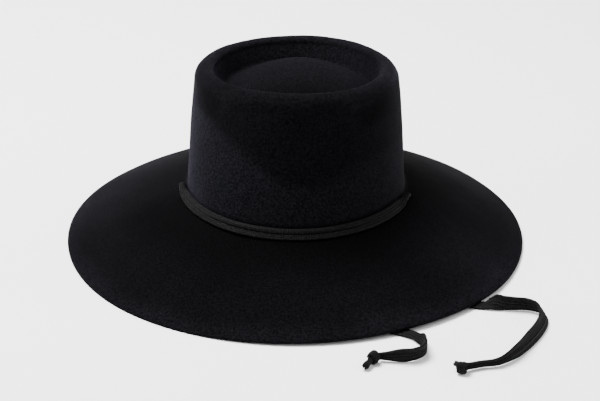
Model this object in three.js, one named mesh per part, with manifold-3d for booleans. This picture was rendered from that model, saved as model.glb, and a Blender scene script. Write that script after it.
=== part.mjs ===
// A gaucho hat of black felt with a flat braided chin strap, in millimetres.
// The front is toward -Y, up is +Z, and the brim rests at z = 0 with its oval centred on the origin.
import * as THREE from 'three';
import { mergeVertices } from 'three/addons/utils/BufferGeometryUtils.js';
import Module from 'manifold-3d';

// Felt wall
const FELT = 2.2;

// Brim oval and its edge, which lifts off the surface here and there
const BRIM_HALF_WIDTH = 180.1;
const BRIM_HALF_LENGTH = 197.2;
const BRIM_BOW = 0.25;
const EDGE_BAND = 1.8;
const EDGE_CORNER = 0.5;
const EDGE_LIFT = 1.2;
const EDGE_WAVES = [
  { at: 0, lift: -0.6, spread: 45 },
  { at: 180, lift: -2, spread: 45 },
  { at: 310, lift: 2, spread: 34 },
  { at: 230, lift: -1.9, spread: 30 },
  { at: 90, lift: -1.7, spread: 28 },
];

// Where the brim's outline swells out of its oval, or falls inside it
const BRIM_SWELLS = [
  { at: 330, out: 2, spread: 18 },
  { at: 0, out: 0.8, spread: 20 },
  { at: 33, out: -0.9, spread: 14 },
  { at: 144, out: -1.3, spread: 18 },
  { at: 228, out: 1, spread: 20 },
];

// Crown, a tapering oval that stands slightly forward of the brim's centre
const CROWN_X = 0.6;
const CROWN_Y = -1.3;
const CROWN_LEAN_X = -0.8;
const ROOT_HALF_WIDTH = 86;
const ROOT_HALF_LENGTH = 103.8;
const ROOT_HEIGHT = 40.4;
const ROOT_FILLET = 4;
const WALL_BOW = 0.5;

// Ridge around the top of the crown
const RIDGE_HALF_WIDTH = 68.7;
const RIDGE_HALF_LENGTH = 85.4;
const RIDGE_HEIGHT = 138.3;
const RIDGE_OUTER_RADIUS = 10;
const RIDGE_INNER_RADIUS = 5;
const RIDGE_TILT = 3.4;
const RIDGE_FRONT_RISE = 1.4;
const RIDGE_FRONT_SPREAD = 38;

// Groove and dome inside the ridge
const GROOVE_HALF_WIDTH = 57.5;
const GROOVE_HALF_LENGTH = 74;
const GROOVE_HEIGHT = 116.5;
const INNER_WALL_SPREAD = 1.2;
const GROOVE_BLEND = 4.5;
const GROOVE_WAVE = 0.1;
const INNER_FOOT_WAVE = 0.25;
const DOME_HEIGHT = 137.3;
const DOME_FULLNESS = 1.08;

// Holes punched through the brim beside the crown, one on each side
const HOLE_ANGLE = 10;
const HOLE_OFFSET = 4;
const HOLE_HALF_ACROSS = 3.4;
const HOLE_HALF_ALONG = 3;
const HOLE_CUT_FROM = 10;
const HOLE_CUT_TO = 50;

// Flat braided strap, and its narrow bunched section at the holes and the knots
const STRAP_WIDTH = 11.5;
const STRAP_THICKNESS = 2;
const STRAP_BLUNT = 0.8;
const BUNCH_WIDTH = 4.8;
const BUNCH_THICKNESS = 3.4;
const HOLE_TAPER = 20;

// The strap across the front of the crown, folded a little lengthwise by its tension
const FRONT_WIDTH = 8.6;
const FRONT_THICKNESS = 2.6;
const FRONT_TILT = 53;
const FRONT_OFFSET = 4;
const FRONT_HEIGHT = 43;
const FRONT_TAPER_FROM = 0.01;
const FRONT_TAPER_TO = 0.09;

// Its bend out of each hole: how far past the hole, how high, and how upright
const HOLE_BEND = [
  { ahead: 0, height: 34.6, upright: 1 },
  { ahead: 0, height: 39.4, upright: 1 },
  { ahead: 0.7, height: 41.3, upright: 0.8 },
  { ahead: 3, height: 42.6, upright: 0.4 },
];
const BEND_TURN = 3.4;

// Routes of the two loose ends: at a lean of 90 the strap lies flat, at 0 it stands on edge
const LEFT_ROUTE = [
  { x: -88, y: -20.3, z: 33.9, lean: 90 },
  { x: -87.2, y: -21, z: 27, lean: 90 },
  { x: -83.5, y: -24.3, z: 14, lean: 90 },
  { x: -75, y: -32.6, z: 4.3, lean: 90 },
  { x: -60, y: -45.1, z: 1.4, lean: 90 },
  { x: -36, y: -68.1, z: 1.3, lean: 90 },
  { x: -8, y: -96.1, z: 1.3, lean: 90 },
  { x: 20, y: -123.1, z: 1.3, lean: 90 },
  { x: 46, y: -147.1, z: 1.3, lean: 90 },
  { x: 64, y: -161.3, z: 1.3, lean: 90 },
  { x: 75, y: -166.2, z: 1.2, lean: 90 },
  { x: 84, y: -168.4, z: 1.2, lean: 90 },
  { x: 90, y: -170.4, z: 1.2, lean: 90 },
  { x: 94.6, y: -173.4, z: 1.6, lean: 84 },
  { x: 98.2, y: -177.2, z: 2.4, lean: 72 },
  { x: 100.8, y: -181.8, z: 3.8, lean: 48 },
  { x: 103.2, y: -187.2, z: 5.1, lean: 12 },
  { x: 104.7, y: -193.6, z: 5.8, lean: -6 },
  { x: 104.5, y: -200.3, z: 6.1, lean: 6 },
  { x: 101, y: -206.4, z: 6.1, lean: 12 },
  { x: 94.8, y: -210.4, z: 6.1, lean: 12 },
  { x: 86.2, y: -211, z: 5.3, lean: 5 },
  { x: 74.6, y: -210.6, z: 4, lean: 0 },
];
const RIGHT_ROUTE = [
  { x: 89.1, y: -20.3, z: 33.9, lean: 90 },
  { x: 89.5, y: -22, z: 27, lean: 90 },
  { x: 90.6, y: -27, z: 14, lean: 90 },
  { x: 92.2, y: -38.1, z: 4.3, lean: 90 },
  { x: 93.8, y: -55.1, z: 1.4, lean: 90 },
  { x: 97, y: -75.1, z: 1.3, lean: 90 },
  { x: 103.5, y: -93.1, z: 1.3, lean: 90 },
  { x: 113.5, y: -109.3, z: 1.3, lean: 90 },
  { x: 126, y: -119.2, z: 1.3, lean: 90 },
  { x: 138, y: -122.9, z: 1.3, lean: 90 },
  { x: 147.8, y: -123.8, z: 1.35, lean: 90 },
  { x: 151.8, y: -124.7, z: 3.9, lean: 62 },
  { x: 155.6, y: -126.7, z: 5.8, lean: 28 },
  { x: 160, y: -128, z: 6.1, lean: 5 },
  { x: 166.5, y: -128.1, z: 6.1, lean: -5 },
  { x: 177.4, y: -128.1, z: 6, lean: -13 },
  { x: 184.7, y: -132.3, z: 5.9, lean: -26 },
  { x: 187.4, y: -139.6, z: 5.5, lean: -36 },
  { x: 187.1, y: -148.7, z: 5.6, lean: -34 },
  { x: 183.3, y: -162.3, z: 5.8, lean: -29 },
  { x: 175.2, y: -180.2, z: 5.9, lean: -24 },
  { x: 165.6, y: -197.1, z: 5.8, lean: -5 },
  { x: 153.7, y: -209.3, z: 4.2, lean: 8 },
  { x: 142, y: -213.1, z: 3.6, lean: 6 },
  { x: 132.3, y: -217.9, z: 3.9, lean: 0 },
];

// Each loose end narrows towards its knot between these distances from it, and curls where it turns over
const LEFT_GATHER = { from: -3, to: 18, turn: 57, spread: 10, curl: 0.34 };
const RIGHT_GATHER = { from: 14, to: 46, turn: 0, spread: 10, curl: 0 };

// Overhand knots: a ball with a short frayed tail
const LEFT_KNOT = {
  radius: 4.4,
  heart: { x: 70.1, y: -214, z: 4.6 },
  tail: { x: 65, y: -224, z: 2.9, radius: 2.6 },
};
const RIGHT_KNOT = {
  radius: 4.3,
  heart: { x: 128.7, y: -221, z: 4.6 },
  tail: { x: 124.5, y: -215.8, z: 4.8, radius: 1.9 },
};
const TAIL_ROOT_SHARE = 0.8;

// Fineness of the faceted surfaces
const AROUND = 60;
const STRAP_STEPS = 52;
const FRONT_STEPS = 34;
const CURVE_SAMPLES = 600;
const KNOT_AROUND = 12;
const KNOT_ROWS = 8;
const HOLE_SIDES = 14;
const DOME_REACHES = [0.16, 0.33, 0.5, 0.66, 0.8];
const DOME_END = 0.92;
const INNER_TURNS = [90, 50, 20];
const OUTER_TURNS = [5, 30, 50, 70, 90];
const WALL_SHARES = [0.25, 0.5, 0.75];
const FILLET_SHARES = [0, 0.3, 0.6, 1];
const BRIM_REACHES = [0.14, 0.3, 0.48, 0.66, 0.84];

const FELT_COLOUR = 0x0f0f13;
const STRAP_COLOUR = 0x1b1b1c;

const wasm = await Module();
wasm.setup();

const { degToRad, lerp, clamp, smoothstep } = THREE.MathUtils;

// Signed difference of two angles in degrees, from -180 to 180
function turnBetween(angle, other) {
  return ((angle - other + 540) % 360) - 180;
}

function bell(distance, spread) {
  return Math.exp(-((distance / spread) ** 2));
}

// Height of the brim's lower edge above the surface it rests on
function edgeHeight(angle) {
  let height = EDGE_LIFT;
  for (const wave of EDGE_WAVES) {
    height += wave.lift * bell(turnBetween(angle, wave.at), wave.spread);
  }
  return Math.max(0, height);
}

function brimSwell(angle) {
  let out = 0;
  for (const swell of BRIM_SWELLS) {
    out += swell.out * bell(turnBetween(angle, swell.at), swell.spread);
  }
  return out;
}

// How far the ridge rises or falls around the crown
function ridgeWave(angle) {
  const slope = -RIDGE_TILT * Math.sin(degToRad(angle));
  return slope + RIDGE_FRONT_RISE * bell(turnBetween(angle, 270), RIDGE_FRONT_SPREAD);
}

// One section of the crown: an oval with its height and its share of the ridge's wave
function oval(halfWidth, halfLength, height, wave) {
  return { halfWidth, halfLength, height, wave };
}

function blendOvals(a, b, t) {
  return oval(
    lerp(a.halfWidth, b.halfWidth, t),
    lerp(a.halfLength, b.halfLength, t),
    lerp(a.height, b.height, t),
    lerp(a.wave, b.wave, t),
  );
}

// Rounds the corner b between the sections a and c
function roundedOvals(a, b, c, steps) {
  const rows = [];
  for (let i = 0; i <= steps; i++) {
    const t = i / steps;
    rows.push(blendOvals(blendOvals(a, b, t), blendOvals(b, c, t), t));
  }
  return rows;
}

function domeOval(reach) {
  const drop = DOME_HEIGHT - GROOVE_HEIGHT;
  const height = GROOVE_HEIGHT + drop * (1 - reach ** 2) ** DOME_FULLNESS;
  return oval(GROOVE_HALF_WIDTH * reach, GROOVE_HALF_LENGTH * reach, height, 0);
}

// Section of the crown's wall, which bows a little outward halfway down
function wallOval(shoulder, foot, share) {
  const section = blendOvals(shoulder, foot, share);
  const bow = WALL_BOW * Math.sin(Math.PI * share);
  return oval(section.halfWidth + bow, section.halfLength + bow, section.height, section.wave);
}

// Quarter of the ridge's rounding, from the top of the ridge outward or inward
function ridgeOval(radius, turn) {
  const out = radius * Math.sin(turn);
  const down = Math.abs(radius) * (1 - Math.cos(turn));
  return oval(RIDGE_HALF_WIDTH + out, RIDGE_HALF_LENGTH + out, RIDGE_HEIGHT - down, 1);
}

// Crown sections from the dome's middle out over the ridge and down to the root
function crownSections() {
  const rows = DOME_REACHES.map(domeOval);
  const corner = oval(GROOVE_HALF_WIDTH, GROOVE_HALF_LENGTH, GROOVE_HEIGHT, GROOVE_WAVE);
  const innerTop = ridgeOval(-RIDGE_INNER_RADIUS, Math.PI / 2);
  const innerFoot = oval(
    GROOVE_HALF_WIDTH + INNER_WALL_SPREAD,
    GROOVE_HALF_LENGTH + INNER_WALL_SPREAD,
    GROOVE_HEIGHT + GROOVE_BLEND,
    INNER_FOOT_WAVE,
  );
  rows.push(...roundedOvals(domeOval(DOME_END), corner, innerFoot, 3));
  rows.push(blendOvals(innerFoot, innerTop, 0.5));
  for (const turn of INNER_TURNS) {
    rows.push(ridgeOval(-RIDGE_INNER_RADIUS, degToRad(turn)));
  }
  for (const turn of OUTER_TURNS) {
    rows.push(ridgeOval(RIDGE_OUTER_RADIUS, degToRad(turn)));
  }
  const shoulder = rows.at(-1);
  const root = oval(ROOT_HALF_WIDTH, ROOT_HALF_LENGTH, ROOT_HEIGHT, 0);
  const wallFoot = blendOvals(root, shoulder, ROOT_FILLET / (shoulder.height - ROOT_HEIGHT));
  rows.push(...WALL_SHARES.map((share) => wallOval(shoulder, wallFoot, share)), wallFoot);
  return rows;
}

function crownPoint(section, angle) {
  const turn = degToRad(angle);
  const lean = CROWN_LEAN_X * clamp((section.height - ROOT_HEIGHT) / (RIDGE_HEIGHT - ROOT_HEIGHT), 0, 1);
  return new THREE.Vector3(
    CROWN_X + lean + section.halfWidth * Math.cos(turn),
    CROWN_Y + section.halfLength * Math.sin(turn),
    section.height + section.wave * ridgeWave(angle),
  );
}

// Point on the brim's upper face: 0 at the crown's root, 1 at the edge
function brimPoint(reach, angle) {
  const turn = degToRad(angle);
  const top = edgeHeight(angle) + FELT;
  const fall = (1 - BRIM_BOW) * reach + BRIM_BOW * reach ** 2;
  const swell = brimSwell(angle);
  return new THREE.Vector3(
    lerp(CROWN_X + ROOT_HALF_WIDTH * Math.cos(turn), (BRIM_HALF_WIDTH + swell) * Math.cos(turn), reach),
    lerp(CROWN_Y + ROOT_HALF_LENGTH * Math.sin(turn), (BRIM_HALF_LENGTH + swell) * Math.sin(turn), reach),
    lerp(ROOT_HEIGHT, top, fall),
  );
}

const BRIM_RUN = BRIM_HALF_WIDTH - ROOT_HALF_WIDTH;
const CROWN = crownSections();

// The upper face from the dome out to the brim's edge, one point for each section
function upperProfile(angle) {
  const points = CROWN.map((section) => crownPoint(section, angle));
  const foot = points.pop();
  const root = brimPoint(0, angle);
  const start = brimPoint(ROOT_FILLET / BRIM_RUN, angle);
  for (const t of FILLET_SHARES) {
    points.push(foot.clone().lerp(root, t).lerp(root.clone().lerp(start, t), t));
  }
  for (const reach of [...BRIM_REACHES, 1 - EDGE_CORNER / BRIM_RUN]) {
    points.push(brimPoint(reach, angle));
  }
  return points;
}

// A closed mesh from rings of points, each end closed on its own middle
function loft(rings) {
  const count = rings[0].length;
  const positions = rings.flat().flatMap((p) => [p.x, p.y, p.z]);
  const index = [];
  for (let r = 0; r + 1 < rings.length; r++) {
    for (let i = 0; i < count; i++) {
      const j = (i + 1) % count;
      const a = r * count + i;
      const b = r * count + j;
      index.push(a, b, b + count, a, b + count, a + count);
    }
  }
  for (const [ring, base, flip] of [
    [rings[0], 0, true],
    [rings.at(-1), (rings.length - 1) * count, false],
  ]) {
    const middle = ring.reduce((sum, p) => sum.add(p), new THREE.Vector3()).divideScalar(count);
    const hub = positions.length / 3;
    positions.push(middle.x, middle.y, middle.z);
    for (let i = 0; i < count; i++) {
      const j = (i + 1) % count;
      index.push(hub, base + (flip ? j : i), base + (flip ? i : j));
    }
  }
  const geometry = new THREE.BufferGeometry();
  geometry.setAttribute('position', new THREE.Float32BufferAttribute(positions, 3));
  geometry.setIndex(index);
  return geometry;
}

// Felt shell: the upper face, the cut edge, and the under face one wall inside the upper one
function feltShell() {
  const step = 360 / AROUND;
  const profiles = [];
  for (let i = 0; i < AROUND; i++) {
    profiles.push(upperProfile(i * step));
  }
  const rows = profiles[0].length;
  const upper = [];
  const under = [];
  for (let r = 0; r < rows; r++) {
    upper.push(profiles.map((profile) => profile[r]));
    under.push(profiles.map((profile, i) => {
      const along = profile[Math.min(r + 1, rows - 1)].clone().sub(profile[Math.max(r - 1, 0)]);
      const next = profiles[(i + 1) % AROUND][r];
      const last = profiles[(i + AROUND - 1) % AROUND][r];
      const facing = along.cross(next.clone().sub(last)).normalize();
      return profile[r].clone().addScaledVector(facing, -FELT);
    }));
  }
  const edge = [
    { inset: 0, rise: FELT * 0.7 },
    { inset: 0, rise: FELT * 0.3 },
    { inset: EDGE_CORNER, rise: 0 },
    { inset: EDGE_CORNER + EDGE_BAND, rise: 0 },
  ].map(({ inset, rise }) => profiles.map((profile, i) => {
    const angle = i * step;
    const turn = degToRad(angle);
    const out = brimSwell(angle) - inset;
    return new THREE.Vector3(
      (BRIM_HALF_WIDTH + out) * Math.cos(turn),
      (BRIM_HALF_LENGTH + out) * Math.sin(turn),
      edgeHeight(angle) + rise,
    );
  }));
  under.pop();
  return loft([...upper, ...edge, ...under.reverse()]);
}

function toManifold(geometry) {
  const bare = geometry.clone();
  bare.deleteAttribute('normal');
  bare.deleteAttribute('uv');
  const merged = mergeVertices(bare);
  const mesh = new wasm.Mesh({
    numProp: 3,
    vertProperties: new Float32Array(merged.attributes.position.array),
    triVerts: new Uint32Array(merged.index.array),
  });
  return new wasm.Manifold(mesh);
}

function toGeometry(manifold) {
  const mesh = manifold.getMesh();
  const geometry = new THREE.BufferGeometry();
  geometry.setAttribute('position', new THREE.BufferAttribute(new Float32Array(mesh.vertProperties), 3));
  geometry.setIndex(new THREE.BufferAttribute(new Uint32Array(mesh.triVerts), 1));
  return geometry;
}

// Where the strap runs beside the crown: a point off the root oval, the ways outward and along
function besideCrown(angle, offset, height) {
  const turn = degToRad(angle);
  const out = new THREE.Vector3(
    Math.cos(turn) / ROOT_HALF_WIDTH,
    Math.sin(turn) / ROOT_HALF_LENGTH,
    0,
  ).normalize();
  const point = new THREE.Vector3(
    CROWN_X + ROOT_HALF_WIDTH * Math.cos(turn) + out.x * offset,
    CROWN_Y + ROOT_HALF_LENGTH * Math.sin(turn) + out.y * offset,
    height,
  );
  return { point, out, along: new THREE.Vector3(-out.y, out.x, 0) };
}

function holeCutter(angle) {
  const { point, out } = besideCrown(angle, HOLE_OFFSET, 0);
  const outline = new THREE.Shape();
  outline.absellipse(0, 0, HOLE_HALF_ACROSS, HOLE_HALF_ALONG, 0, Math.PI * 2);
  const cutter = new THREE.ExtrudeGeometry(outline, {
    depth: HOLE_CUT_TO - HOLE_CUT_FROM,
    bevelEnabled: false,
    curveSegments: HOLE_SIDES,
  });
  cutter.rotateZ(Math.atan2(out.y, out.x));
  cutter.translate(point.x, point.y, HOLE_CUT_FROM);
  return toManifold(cutter);
}

// Eight-sided flat section with blunt edges
function strapRing(centre, across, through, width, thickness) {
  const w = width / 2;
  const t = thickness / 2;
  const blunt = STRAP_BLUNT;
  return [
    [w, -t / 2], [w, t / 2], [w - blunt, t], [blunt - w, t],
    [-w, t / 2], [-w, -t / 2], [blunt - w, -t], [w - blunt, -t],
  ].map(([a, b]) => centre.clone().addScaledVector(across, a).addScaledVector(through, b));
}

// Reads a named column of a table at a fractional row
function columnAt(table, name, row) {
  const low = Math.min(Math.floor(row), table.length - 2);
  return lerp(table[low][name], table[low + 1][name], row - low);
}

// A loose end: flat on the surface, turning on edge, and narrower at the hole and the knot
function looseEnd(route, gather) {
  const curve = new THREE.CatmullRomCurve3(route.map(({ x, y, z }) => new THREE.Vector3(x, y, z)));
  curve.arcLengthDivisions = CURVE_SAMPLES;
  const length = curve.getLength();
  const rings = [];
  for (let i = 0; i <= STRAP_STEPS; i++) {
    const u = i / STRAP_STEPS;
    const t = curve.getUtoTmapping(u);
    const tangent = curve.getTangent(t);
    const side = new THREE.Vector3(-tangent.y, tangent.x, 0).normalize();
    const up = tangent.clone().cross(side);
    const lean = degToRad(columnAt(route, 'lean', t * (route.length - 1)));
    const across = up.multiplyScalar(Math.cos(lean)).addScaledVector(side, Math.sin(lean));
    const through = tangent.clone().cross(across);
    const open = Math.min(
      smoothstep(u * length, 0, HOLE_TAPER),
      smoothstep((1 - u) * length, gather.from, gather.to),
    );
    const curl = gather.curl * bell((1 - u) * length - gather.turn, gather.spread);
    const width = lerp(BUNCH_WIDTH, STRAP_WIDTH, open) * (1 - curl);
    const thickness = lerp(BUNCH_THICKNESS, STRAP_THICKNESS, open);
    rings.push(strapRing(curve.getPoint(t), across, through, width, thickness));
  }
  return loft(rings);
}

// The held stretch: up through one hole, along the front of the crown, down through the other
function frontStrap() {
  const first = 180 + HOLE_ANGLE;
  const last = 360 - HOLE_ANGLE;
  const rising = HOLE_BEND.map((bend) => ({ ...bend, angle: first, open: 0 }));
  const falling = rising.map((bend) => ({ ...bend, angle: last, ahead: -bend.ahead })).reverse();
  const level = [];
  for (let i = 1; i < FRONT_STEPS; i++) {
    const t = i / FRONT_STEPS;
    const angle = lerp(first + BEND_TURN, last - BEND_TURN, t);
    const open = smoothstep(Math.min(t, 1 - t), FRONT_TAPER_FROM, FRONT_TAPER_TO);
    const height = lerp(HOLE_BEND.at(-1).height, FRONT_HEIGHT, open);
    level.push({ angle, open, height, ahead: 0, upright: 0 });
  }
  const stations = [...rising, ...level, ...falling];
  const rings = stations.map(({ angle, open, ahead, upright, height }, i) => {
    const { point, out, along } = besideCrown(angle, lerp(HOLE_OFFSET, FRONT_OFFSET, open), height);
    point.addScaledVector(along, ahead);
    const tangent = along.clone().multiplyScalar(1 - upright);
    tangent.z += i < stations.length / 2 ? upright : -upright;
    tangent.normalize();
    const tilt = degToRad(FRONT_TILT * open);
    const across = out.clone().multiplyScalar(-Math.cos(tilt));
    across.z += Math.sin(tilt);
    const through = tangent.clone().cross(across).normalize();
    const width = lerp(BUNCH_WIDTH, FRONT_WIDTH, open);
    const thickness = lerp(BUNCH_THICKNESS, FRONT_THICKNESS, open);
    return strapRing(point, across, through, width, thickness);
  });
  return loft(rings);
}

// A knot: a ball joined to a tapered tail that points from its heart to the frayed tip
function knot({ radius, heart, tail }) {
  const middle = new THREE.Vector3(heart.x, heart.y, heart.z);
  const tip = new THREE.Vector3(tail.x, tail.y, tail.z);
  const ball = new THREE.SphereGeometry(radius, KNOT_AROUND, KNOT_ROWS);
  ball.translate(middle.x, middle.y, middle.z);
  const length = middle.distanceTo(tip);
  const stub = new THREE.CylinderGeometry(tail.radius, radius * TAIL_ROOT_SHARE, length, KNOT_AROUND);
  const way = tip.clone().sub(middle).normalize();
  stub.applyQuaternion(new THREE.Quaternion().setFromUnitVectors(new THREE.Vector3(0, 1, 0), way));
  stub.translate((middle.x + tip.x) / 2, (middle.y + tip.y) / 2, (middle.z + tip.z) / 2);
  return toGeometry(toManifold(ball).add(toManifold(stub)));
}

// A loft may come out inside out, so its faces are turned to point outward
function outward(geometry) {
  const position = geometry.attributes.position;
  const index = geometry.index;
  const [a, b, c] = [new THREE.Vector3(), new THREE.Vector3(), new THREE.Vector3()];
  let volume = 0;
  for (let i = 0; i < index.count; i += 3) {
    a.fromBufferAttribute(position, index.getX(i));
    b.fromBufferAttribute(position, index.getX(i + 1));
    c.fromBufferAttribute(position, index.getX(i + 2));
    volume += a.dot(b.cross(c));
  }
  if (volume < 0) {
    geometry.setIndex(Array.from(index.array).reverse());
  }
  return geometry;
}

function named(name, geometry, colour, roughness) {
  const material = new THREE.MeshStandardMaterial({ color: colour, roughness, metalness: 0 });
  geometry.computeVertexNormals();
  const mesh = new THREE.Mesh(geometry, material);
  mesh.name = name;
  return mesh;
}

function buildHat() {
  const hat = new THREE.Group();
  let felt = toManifold(outward(feltShell()));
  for (const angle of [180 + HOLE_ANGLE, 360 - HOLE_ANGLE]) {
    felt = felt.subtract(holeCutter(angle));
  }
  hat.add(named('felt_body', toGeometry(felt), FELT_COLOUR, 1));

  const strap = new THREE.Group();
  strap.add(named('front_strap', outward(frontStrap()), STRAP_COLOUR, 0.8));
  strap.add(named('chin_strap_left', outward(looseEnd(LEFT_ROUTE, LEFT_GATHER)), STRAP_COLOUR, 0.8));
  strap.add(named('chin_strap_right', outward(looseEnd(RIGHT_ROUTE, RIGHT_GATHER)), STRAP_COLOUR, 0.8));
  strap.add(named('knot_left', knot(LEFT_KNOT), STRAP_COLOUR, 0.85));
  strap.add(named('knot_right', knot(RIGHT_KNOT), STRAP_COLOUR, 0.85));
  hat.add(strap);
  return hat;
}

export default buildHat();
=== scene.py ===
# A gaucho hat of black felt with a flat braided chin strap, in metres, with its front towards -Y.
import math

import bpy
import numpy as np
from mathutils import Matrix, Vector


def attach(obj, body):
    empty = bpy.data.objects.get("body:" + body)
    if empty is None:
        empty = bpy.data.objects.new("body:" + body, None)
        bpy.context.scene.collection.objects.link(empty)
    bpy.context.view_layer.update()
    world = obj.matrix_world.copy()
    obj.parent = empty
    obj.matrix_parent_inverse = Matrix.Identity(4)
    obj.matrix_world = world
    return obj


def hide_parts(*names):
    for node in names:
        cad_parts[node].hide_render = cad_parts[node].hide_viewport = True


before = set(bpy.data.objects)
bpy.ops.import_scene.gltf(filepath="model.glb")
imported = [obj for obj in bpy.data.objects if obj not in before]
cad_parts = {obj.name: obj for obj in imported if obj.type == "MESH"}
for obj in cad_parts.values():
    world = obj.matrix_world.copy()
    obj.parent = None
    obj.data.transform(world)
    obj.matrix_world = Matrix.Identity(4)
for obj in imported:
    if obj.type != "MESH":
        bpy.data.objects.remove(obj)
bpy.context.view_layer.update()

# Camera, at the angle of the photograph
CAMERA_TARGET = Vector((0.00054, -0.0013, 0.0612))
CAMERA_DISTANCE = 1.15
CAMERA_ELEVATION = math.radians(21.568)
CAMERA_TURN = math.radians(4.5)
CAMERA_ROLL = math.radians(0.81)
CAMERA_LENS = 87.46
CAMERA_SHIFT_X = 0.0055
CAMERA_SHIFT_Y = -0.0727

# Flat braid and its narrow bunched section at the holes and the knots
STRAP_WIDTH = 0.0115
STRAP_THICKNESS = 0.002
BUNCH_WIDTH = 0.0048
BUNCH_THICKNESS = 0.0034
HOLE_TAPER = 0.020
LEFT_GATHER = (-0.003, 0.018)
RIGHT_GATHER = (0.014, 0.046)
LEFT_CURL = {"turn": 0.057, "spread": 0.010, "share": 0.34}
RIGHT_CURL = {"turn": 0, "spread": 0.010, "share": 0}
STRAP_RIBS = 4
EDGE_ROUNDING = 3
RIB_GROOVE = 0.6
RIB_FULLNESS = 0.7
RING_STEP = 0.0011
RING_SIDES = 36
PATH_STEP = 0.004

# Stitches: columns of yarn grains over the width, slanting in pairs, sunk a little into the braid
STITCH_PITCH = 0.0018
STITCH_COLUMNS = 6
STITCH_SLANT = 0.55
ROPE_SLANT = 1.5
STITCH_SINK = 0.00025
STITCH_LEAST_HEIGHT = 0.75
STRAP_GRAIN = {"Grain Length": 0.0022, "Grain Width": 0.0016, "Grain Height": 0.0013, "Difference": 0.14}
KNOT_GRAIN = {"Grain Length": 0.0023, "Grain Width": 0.0024, "Grain Height": 0.0008, "Difference": 0.12}
GRAIN_SIDES = 6
GRAIN_ROWS = 4

# Routes of the loose ends: x, y, z, and a lean of 90 where the strap is flat, 0 where it stands on edge
LEFT_ROUTE = [
    (-0.0880, -0.0203, 0.0339, 90),
    (-0.0872, -0.0210, 0.0270, 90),
    (-0.0835, -0.0243, 0.0140, 90),
    (-0.0750, -0.0326, 0.0043, 90),
    (-0.0600, -0.0451, 0.0014, 90),
    (-0.0360, -0.0681, 0.0013, 90),
    (-0.0080, -0.0961, 0.0013, 90),
    (0.0200, -0.1231, 0.0013, 90),
    (0.0460, -0.1471, 0.0013, 90),
    (0.0640, -0.1613, 0.0013, 90),
    (0.0750, -0.1662, 0.0012, 90),
    (0.0840, -0.1684, 0.0012, 90),
    (0.0900, -0.1704, 0.0012, 90),
    (0.0946, -0.1734, 0.0016, 84),
    (0.0982, -0.1772, 0.0024, 72),
    (0.1008, -0.1818, 0.0038, 48),
    (0.1032, -0.1872, 0.0051, 12),
    (0.1047, -0.1936, 0.0058, -6),
    (0.1045, -0.2003, 0.0061, 6),
    (0.1010, -0.2064, 0.0061, 12),
    (0.0948, -0.2104, 0.0061, 12),
    (0.0862, -0.2110, 0.0053, 5),
    (0.0746, -0.2106, 0.0040, 0),
]
RIGHT_ROUTE = [
    (0.0891, -0.0203, 0.0339, 90),
    (0.0895, -0.0220, 0.0270, 90),
    (0.0906, -0.0270, 0.0140, 90),
    (0.0922, -0.0381, 0.0043, 90),
    (0.0938, -0.0551, 0.0014, 90),
    (0.0970, -0.0751, 0.0013, 90),
    (0.1035, -0.0931, 0.0013, 90),
    (0.1135, -0.1093, 0.0013, 90),
    (0.1260, -0.1192, 0.0013, 90),
    (0.1380, -0.1229, 0.0013, 90),
    (0.1478, -0.1238, 0.00135, 90),
    (0.1518, -0.1247, 0.0039, 62),
    (0.1556, -0.1267, 0.0058, 28),
    (0.1600, -0.1280, 0.0061, 5),
    (0.1665, -0.1281, 0.0061, -5),
    (0.1774, -0.1281, 0.0060, -13),
    (0.1847, -0.1323, 0.0059, -26),
    (0.1874, -0.1396, 0.0055, -36),
    (0.1871, -0.1487, 0.0056, -34),
    (0.1833, -0.1623, 0.0058, -29),
    (0.1752, -0.1802, 0.0059, -24),
    (0.1656, -0.1971, 0.0058, -5),
    (0.1537, -0.2093, 0.0042, 8),
    (0.1420, -0.2131, 0.0036, 6),
    (0.1323, -0.2179, 0.0039, 0),
]

# The strap across the front of the crown
FRONT_WIDTH = 0.0086
FRONT_THICKNESS = 0.0026
FRONT_TILT = math.radians(53)
FRONT_OFFSET = 0.004
FRONT_HEIGHT = 0.043
FRONT_TAPER = (0.01, 0.09)
FRONT_STATIONS = 160
FRONT_FOLD = (0.16, 0.34)
ROPE_FROM = 0.05
FRONT_SEED = 31

# How it bends over from a hole: steps forward, height and how upright it runs; then the angle it has turned
HOLE_BEND = [
    {"ahead": 0.0, "height": 0.0346, "upright": 1.0},
    {"ahead": 0.0, "height": 0.0394, "upright": 1.0},
    {"ahead": 0.0007, "height": 0.0413, "upright": 0.8},
    {"ahead": 0.0030, "height": 0.0426, "upright": 0.4},
]
BEND_TURN = 3.4

# Folded section: a round strand on the upper half of the width and a thin ribbed part on the lower half
FRONT_STRAND = 1.7
FOLD_MIDDLE = 0.5
THIN_RIBS = 3
THIN_GROOVE = 0.62
THIN_TOP = 0.85
THIN_ROUNDING = 4
LEAST_SHARE = 0.2

# Knots: a ball with a frayed tail
LEFT_KNOT = {
    "radius": 0.0044, "flare": 0.0024,
    "heart": (0.0701, -0.2140, 0.0046), "tail": (0.0650, -0.2240, 0.0029),
}
RIGHT_KNOT = {
    "radius": 0.0043, "flare": 0.0019,
    "heart": (0.1287, -0.2210, 0.0046), "tail": (0.1245, -0.2158, 0.0048),
}
KNOT_TURNS = [
    {"start": 0.3, "turns": 1.15, "swing": 0.32, "reach": 0.76},
    {"start": 2.4, "turns": 1.1, "swing": -0.38, "reach": 0.85},
]
KNOT_STEPS = 60
KNOT_RING_STEP = 0.0007
KNOT_RING_SIDES = 24
KNOT_TURN_WIDTH = 0.56
KNOT_TURN_THICKNESS = 0.2
KNOT_TURN_TAPER = 0.35
KNOT_SLANT = 0.5
KNOT_CORE_GIRTH = 0.74
KNOT_CORE_STEPS = 30
KNOT_CORE_SIDES = 16
TAIL_STRANDS = 60
TAIL_STEPS = 7
TAIL_START = 0.3
TAIL_LENGTHS = (0.9, 1.13)
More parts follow.
